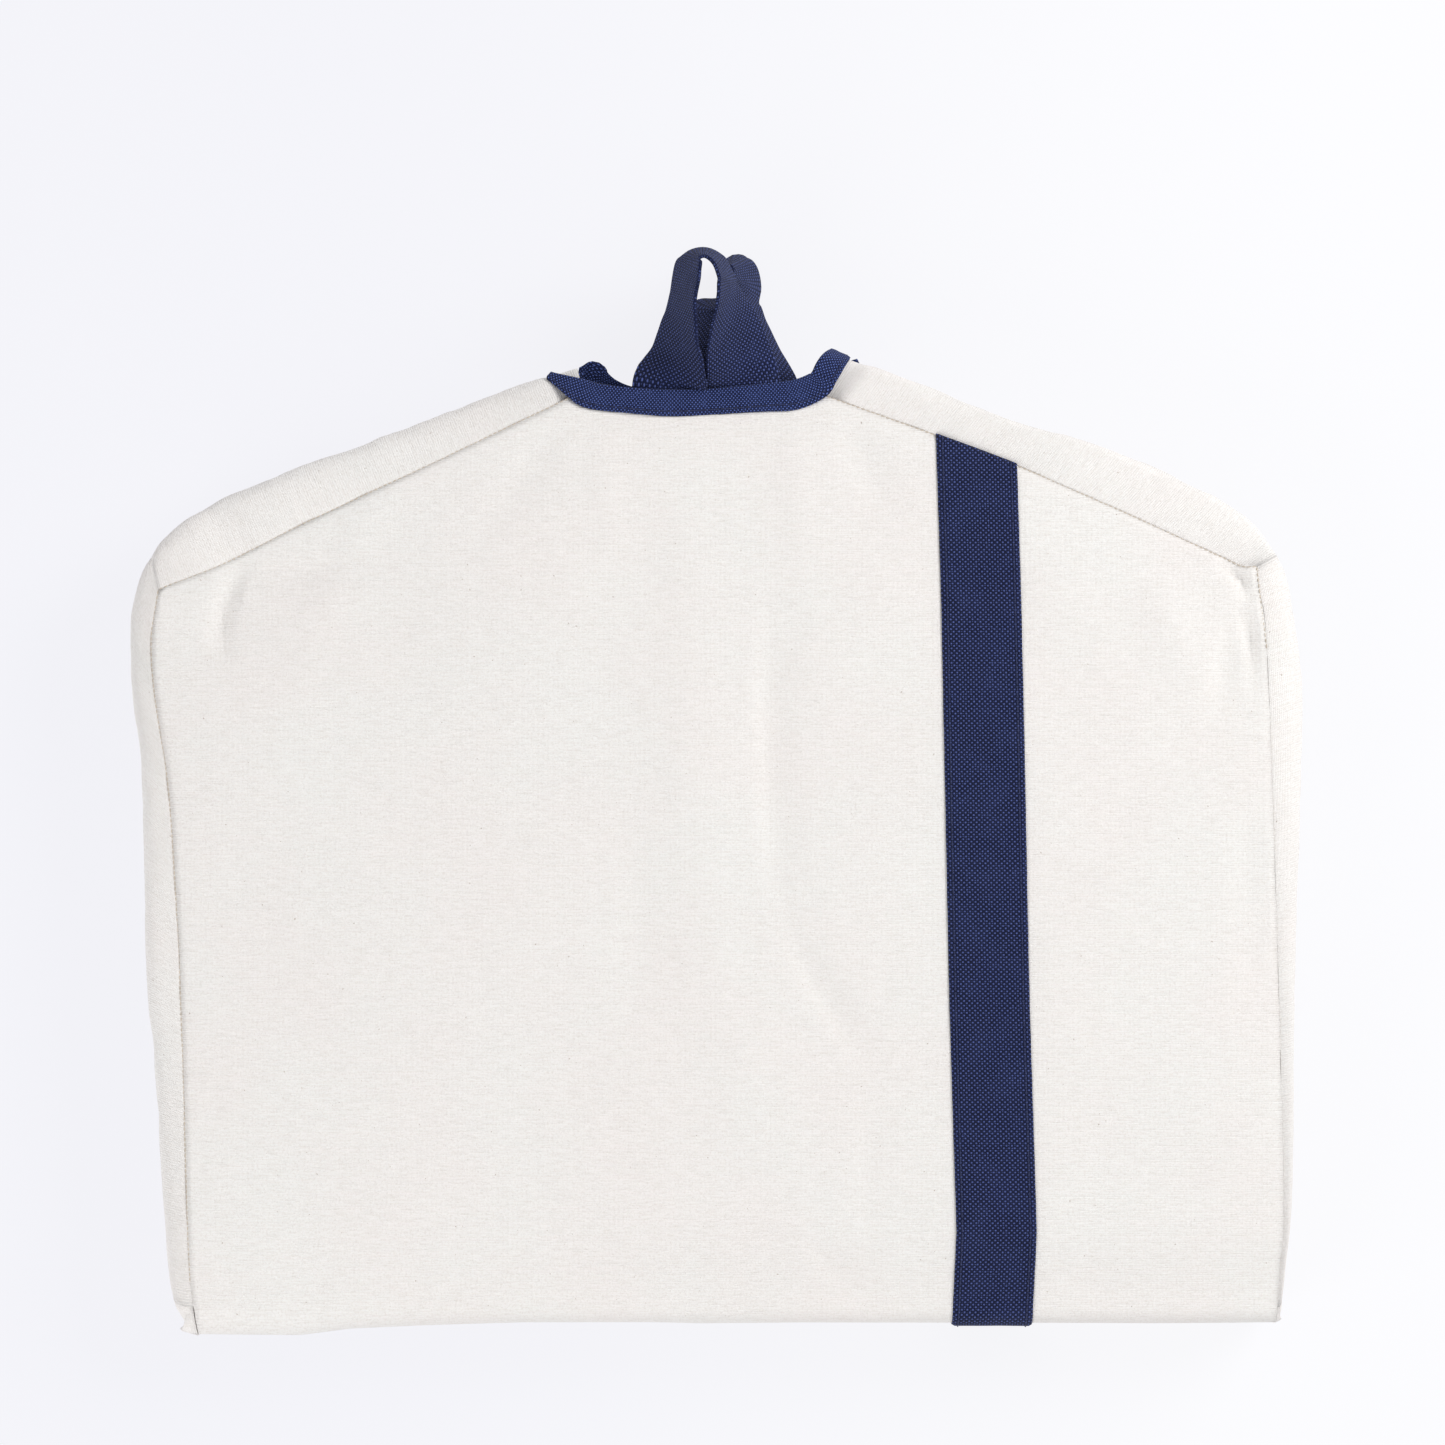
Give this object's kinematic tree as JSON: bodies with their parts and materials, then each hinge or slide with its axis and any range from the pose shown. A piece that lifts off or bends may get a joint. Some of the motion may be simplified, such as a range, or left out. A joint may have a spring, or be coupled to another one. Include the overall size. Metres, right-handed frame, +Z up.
{
  "type": "garment bag",
  "caption": "Natural canvas garment bag with navy webbing stripe, bound neck and carrying loops, folded once and lying flat, with a hidden front zipper.",
  "frame": {"origin": "middle of the base, on the surface the folded bag lies on", "axes": "+X to the right across the bag, +Y from the fold towards the neck, +Z up"},
  "size_m": [0.5836, 0.54, 0.0871],
  "materials": {
    "canvas": "matte plain-weave cotton canvas",
    "navy_webbing": "coarse cotton webbing",
    "navy_binding": "fine cotton binding tape",
    "zipper_tape": "woven zipper tape",
    "zipper_brass": "satin antique brass"
  },
  "bodies": {
    "lower_half": {"back_panel_lower": "canvas", "front_panel_left_lower": "canvas", "front_panel_right_lower": "canvas", "side_gusset_left_lower": "canvas", "side_gusset_right_lower": "canvas", "hem_gusset": "canvas", "stripe_lower": "navy_webbing", "zipper_tape_left_lower": "zipper_tape", "zipper_tape_right_lower": "zipper_tape", "zipper_teeth_lower": "zipper_brass", "zipper_bottom_stop": "zipper_brass"},
    "fold_spine": {"back_panel_fold": "canvas", "stripe_fold": "navy_webbing", "front_panel_fold": "canvas", "zipper_fold": "zipper_tape", "fold_gusset_left": "canvas", "fold_gusset_right": "canvas"},
    "upper_half": {"back_panel_upper": "canvas", "front_panel_left_upper": "canvas", "front_panel_right_upper": "canvas", "shoulder_gusset_left": "canvas", "shoulder_gusset_right": "canvas", "side_gusset_left_upper": "canvas", "side_gusset_right_upper": "canvas", "stripe_upper": "navy_webbing", "neck_binding_back": "navy_binding", "neck_binding_front": "navy_binding", "neck_binding_left": "navy_binding", "neck_binding_right": "navy_binding", "back_handle_tails": "navy_webbing", "front_handle_tails": "navy_webbing", "zipper_tape_left_upper": "zipper_tape", "zipper_tape_right_upper": "zipper_tape", "zipper_teeth_upper": "zipper_brass", "zipper_top_stops": "zipper_brass"},
    "back_loop": {"back_handle": "navy_webbing"},
    "front_loop": {"front_handle": "navy_webbing"},
    "zip_slider": {"zipper_slider": "zipper_brass"},
    "zip_pull": {"zipper_pull_tab": "zipper_brass"}
  },
  "joints": [
    {"name": "fold_lower_edge", "type": "hinge", "parent": "lower_half", "child": "fold_spine", "pos_m": [0, -0.2682, 0], "axis": [1, 0, 0], "range_deg": [0, 89.9], "deforming": ["front_panel_fold", "zipper_fold", "fold_gusset_left", "fold_gusset_right"]},
    {"name": "fold_upper_edge", "type": "hinge", "parent": "fold_spine", "child": "upper_half", "pos_m": [0, -0.2682, 0.059], "axis": [1, 0, 0], "range_deg": [0, 89.9]},
    {"name": "back_handle_swing", "type": "hinge", "parent": "upper_half", "child": "back_loop", "pos_m": [0, 0.208, 0.056], "axis": [1, 0, 0], "range_deg": [0, 80]},
    {"name": "front_handle_swing", "type": "hinge", "parent": "upper_half", "child": "front_loop", "pos_m": [0, 0.2105, 0.036], "axis": [1, 0, 0], "range_deg": [-80, 0]},
    {"name": "zipper_travel", "type": "slide", "parent": "upper_half", "child": "zip_slider", "axis": [0, -1, 0], "range_m": [0, 0.36]},
    {"name": "pull_tab_swing", "type": "hinge", "parent": "zip_slider", "child": "zip_pull", "pos_m": [0.004, 0.152, 0.0296], "axis": [1, 0, 0], "range_deg": [-170, 0]}
  ],
  "couplings": [
    {"joint": "fold_upper_edge", "follows": "fold_lower_edge", "ratio": 1}
  ]
}
